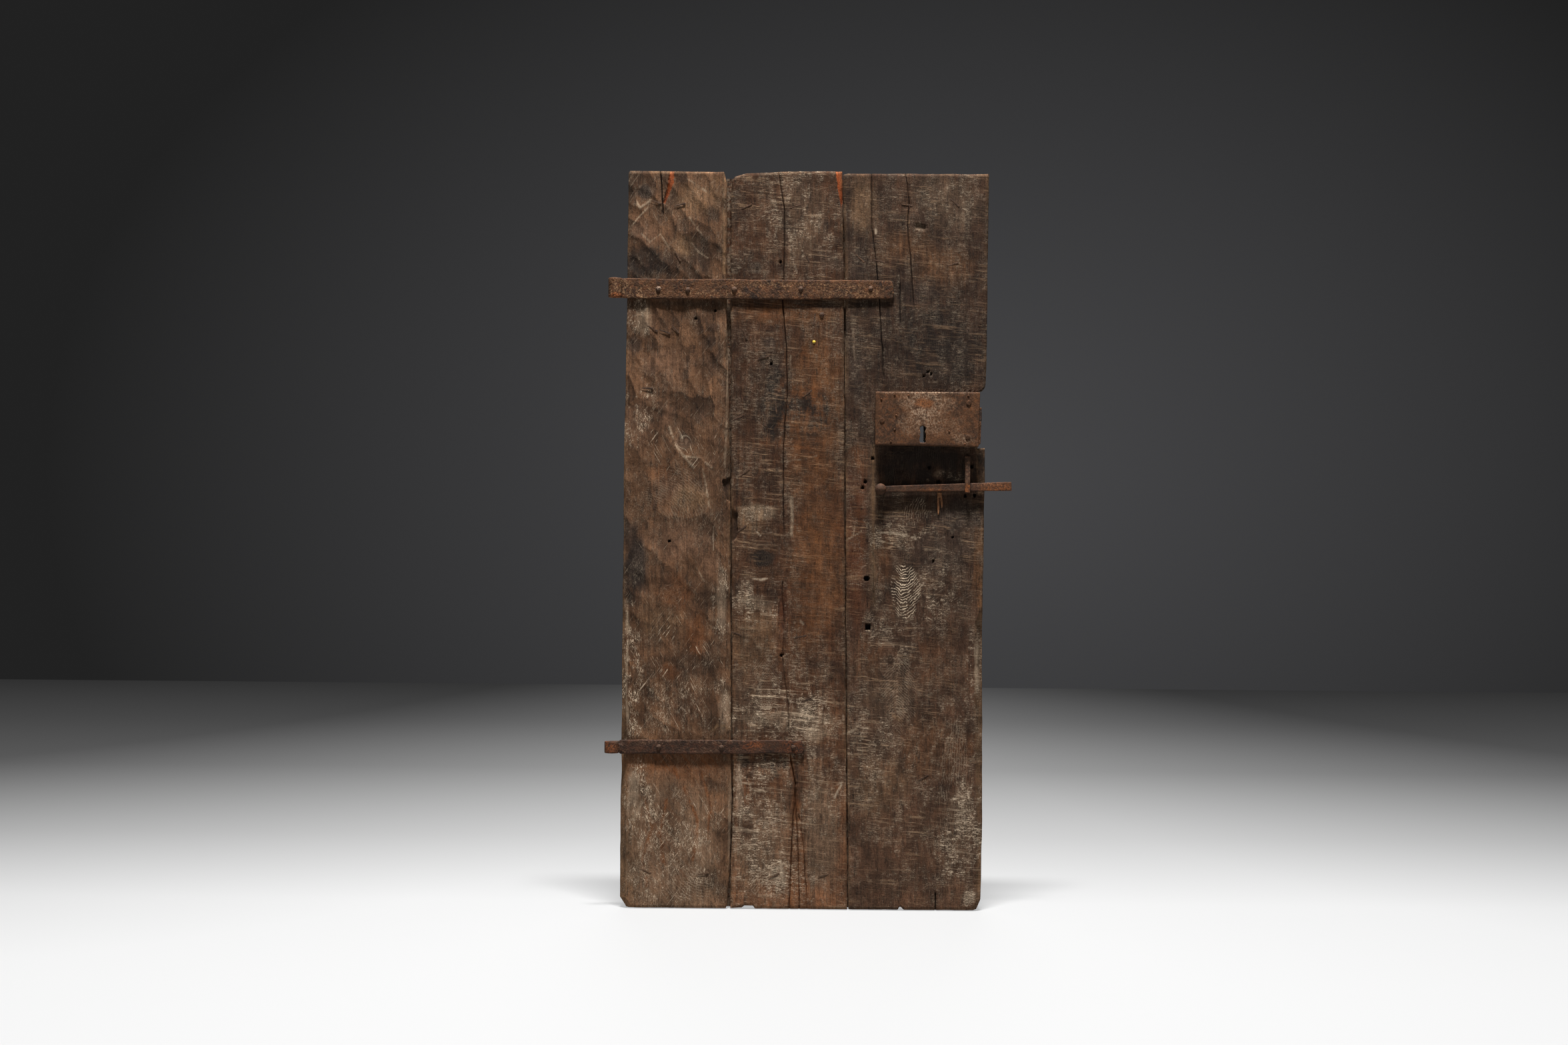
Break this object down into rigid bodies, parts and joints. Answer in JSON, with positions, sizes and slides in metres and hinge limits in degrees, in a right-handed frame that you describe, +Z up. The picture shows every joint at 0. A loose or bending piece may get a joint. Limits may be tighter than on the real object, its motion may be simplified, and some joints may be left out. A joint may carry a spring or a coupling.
{
  "type": "rustic plank door leaf",
  "caption": "Old ledged plank door leaf of hewn and sawn pine with forged strap hinges, a warded rim lock, a pivoting latch bar in a tall staple and ledges across the back.",
  "frame": {"origin": "centre of the lower hinge eye's bore, on the hinge axis", "axes": "+Z up along the hinge axis, +X from the hinge edge to the lock edge, +Y from the face with the ironwork to the ledges at the back"},
  "size_m": [0.9578, 0.1155, 1.7505],
  "materials": {
    "hewn_pine": "weathered, adze hewn",
    "sawn_pine": "weathered, saw marked",
    "lock_pine": "weathered, saw marked, smoke dark in places",
    "ledge_pine": "weathered",
    "nail_iron": "rusted, forged",
    "strap_iron": "rusted, pitted, forged",
    "lower_strap_iron": "rusted, dark, forged",
    "lock_iron": "rusted sheet, mottled",
    "bolt_iron": "dark, worn",
    "latch_iron": "rusted, forged",
    "pin_iron": "tan rust",
    "marker": "glossy yellow head"
  },
  "bodies": {
    "leaf": {"hinge_plank": "hewn_pine", "middle_plank": "sawn_pine", "lock_plank": "lock_pine", "upper_ledge": "ledge_pine", "lower_ledge": "ledge_pine", "foot_ledge": "ledge_pine", "upper_ledge_nails": "nail_iron", "lower_ledge_nails": "nail_iron", "foot_ledge_nails": "nail_iron", "upper_strap": "strap_iron", "lower_strap": "lower_strap_iron", "upper_strap_nails": "nail_iron", "lower_strap_nails": "nail_iron", "lock_case": "lock_iron", "lock_forend": "lock_iron", "lock_rivets": "lock_iron", "lock_nails": "lock_iron", "key_bridge": "bolt_iron", "bolt_spring": "bolt_iron", "latch_pivot": "latch_iron", "latch_washer": "latch_iron", "latch_staple": "latch_iron", "split_pin": "pin_iron", "dome_nail": "nail_iron", "marker_pin": "marker", "stray_nails": "nail_iron"},
    "latch": {"latch_bar": "latch_iron"},
    "bolt": {"lock_bolt": "bolt_iron"}
  },
  "joints": [
    {"name": "latch_lift", "type": "hinge", "parent": "leaf", "child": "latch", "pos_m": [0.63112, 0, 0.61554], "axis": [0, -1, 0], "range_deg": [0, 13]},
    {"name": "bolt_throw", "type": "slide", "parent": "leaf", "child": "bolt", "axis": [1, 0, 0], "range_m": [0, 0.016]}
  ]
}
